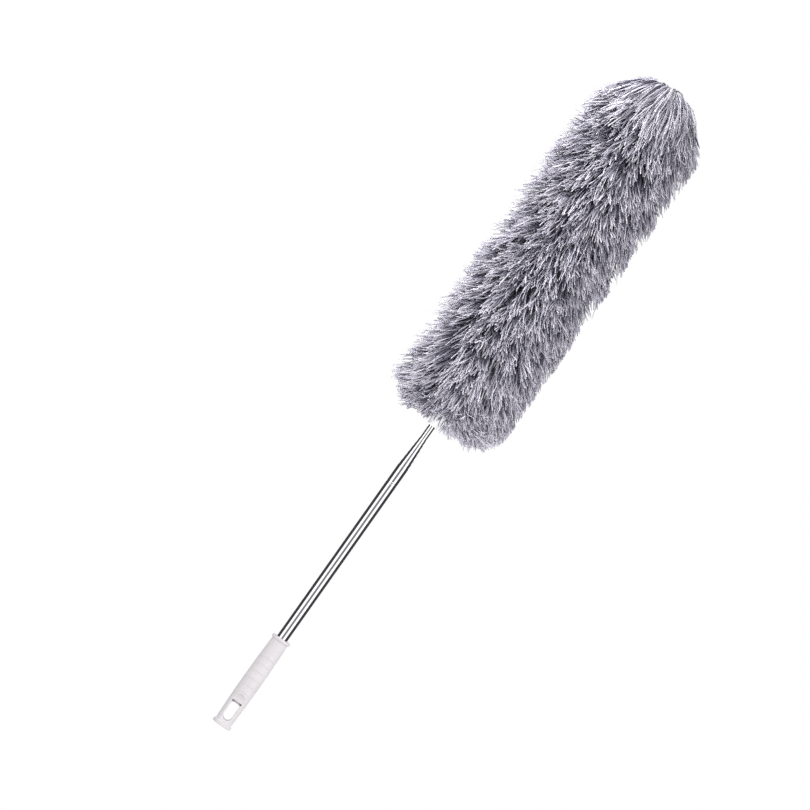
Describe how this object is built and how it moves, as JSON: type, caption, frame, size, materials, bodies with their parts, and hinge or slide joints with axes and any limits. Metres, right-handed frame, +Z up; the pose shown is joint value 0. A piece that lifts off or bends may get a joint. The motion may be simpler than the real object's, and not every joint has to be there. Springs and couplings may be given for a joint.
{
  "type": "cobweb brush",
  "caption": "Extending duster: a long soft microfibre pile head on a bendable core, carried by a telescopic steel pole with a short moulded handle and a hanging slot.",
  "frame": {"origin": "middle of the folded duster's length and width, on the surface that its pile lies on", "axes": "+X along the pole from the butt of the handle to the tip of the head, +Z up, square to the face of the hanging slot"},
  "size_m": [0.762, 0.11, 0.1085],
  "materials": {
    "handle_plastic": "satin",
    "neck_plastic": "satin",
    "pole_steel": "polished",
    "plug_rubber": "matte",
    "bush_plastic": "satin",
    "core_wire": "satin",
    "core_plastic": "matte",
    "backing_fabric": "matte",
    "cuff_elastic": "matte",
    "pile_fibre": "matte"
  },
  "bodies": {
    "base": {"handle": "handle_plastic", "base_plug": "plug_rubber", "tube_1": "pole_steel"},
    "stage_2": {"tube_2": "pole_steel", "tail_bush_2": "bush_plastic"},
    "stage_3": {"tube_3": "pole_steel", "tail_bush_3": "bush_plastic"},
    "stage_4": {"tube_4": "pole_steel", "tail_bush_4": "bush_plastic"},
    "stage_5": {"tube_5": "pole_steel", "tail_bush_5": "bush_plastic"},
    "stage_6": {"tube_6": "pole_steel", "tail_bush_6": "bush_plastic"},
    "stage_7": {"tube_7": "pole_steel", "tail_bush_7": "bush_plastic"},
    "stage_8": {"tail_bush_8": "bush_plastic"},
    "head": {"tube_8": "pole_steel", "neck": "neck_plastic", "sleeve_cuff": "cuff_elastic", "core_wire_1": "core_wire", "core_sheath_1": "core_plastic", "backing_1": "backing_fabric", "pile_1": "pile_fibre"},
    "head_link_2": {"core_wire_2": "core_wire", "core_sheath_2": "core_plastic", "backing_2": "backing_fabric", "pile_2": "pile_fibre"},
    "head_link_3": {"core_wire_3": "core_wire", "core_sheath_3": "core_plastic", "backing_3": "backing_fabric", "pile_3": "pile_fibre"},
    "head_link_4": {"core_wire_4": "core_wire", "core_sheath_4": "core_plastic", "backing_4": "backing_fabric", "pile_4": "pile_fibre"},
    "head_link_5": {"core_wire_5": "core_wire", "core_sheath_5": "core_plastic", "backing_5": "backing_fabric", "pile_5": "pile_fibre", "tip_cap": "core_plastic"}
  },
  "joints": [
    {"name": "stage_2_slide", "type": "slide", "parent": "base", "child": "stage_2", "axis": [1, 0, 0], "range_m": [0, 0.2535]},
    {"name": "stage_3_slide", "type": "slide", "parent": "stage_2", "child": "stage_3", "axis": [1, 0, 0], "range_m": [0, 0.2535]},
    {"name": "stage_4_slide", "type": "slide", "parent": "stage_3", "child": "stage_4", "axis": [1, 0, 0], "range_m": [0, 0.2535]},
    {"name": "stage_5_slide", "type": "slide", "parent": "stage_4", "child": "stage_5", "axis": [1, 0, 0], "range_m": [0, 0.2535]},
    {"name": "stage_6_slide", "type": "slide", "parent": "stage_5", "child": "stage_6", "axis": [1, 0, 0], "range_m": [0, 0.2535]},
    {"name": "stage_7_slide", "type": "slide", "parent": "stage_6", "child": "stage_7", "axis": [1, 0, 0], "range_m": [0, 0.2535]},
    {"name": "stage_8_slide", "type": "slide", "parent": "stage_7", "child": "stage_8", "axis": [1, 0, 0], "range_m": [0, 0.2535]},
    {"name": "head_turn", "type": "hinge", "parent": "stage_8", "child": "head", "pos_m": [-0.046, 0, 0.0535], "axis": [1, 0, 0], "continuous": true},
    {"name": "head_bend_1", "type": "hinge", "parent": "head", "child": "head_link_2", "pos_m": [0.054, 0, 0.0535], "axis": [0, 0, 1], "range_deg": [-22.5, 22.5], "deforming": ["core_wire_1", "core_sheath_1", "backing_1", "pile_1", "core_wire_2", "core_sheath_2", "backing_2", "pile_2"]},
    {"name": "head_bend_2", "type": "hinge", "parent": "head_link_2", "child": "head_link_3", "pos_m": [0.129, 0, 0.0535], "axis": [0, 0, 1], "range_deg": [-22.5, 22.5], "deforming": ["core_wire_3", "core_sheath_3", "backing_3", "pile_3"]},
    {"name": "head_bend_3", "type": "hinge", "parent": "head_link_3", "child": "head_link_4", "pos_m": [0.204, 0, 0.0535], "axis": [0, 0, 1], "range_deg": [-22.5, 22.5], "deforming": ["core_wire_4", "core_sheath_4", "backing_4", "pile_4"]},
    {"name": "head_bend_4", "type": "hinge", "parent": "head_link_4", "child": "head_link_5", "pos_m": [0.279, 0, 0.0535], "axis": [0, 0, 1], "range_deg": [-22.5, 22.5], "deforming": ["core_wire_5", "core_sheath_5", "backing_5", "pile_5"]}
  ],
  "couplings": [
    {"joint": "head_bend_2", "follows": "head_bend_1", "ratio": 1},
    {"joint": "head_bend_3", "follows": "head_bend_1", "ratio": 1},
    {"joint": "head_bend_4", "follows": "head_bend_1", "ratio": 1}
  ]
}
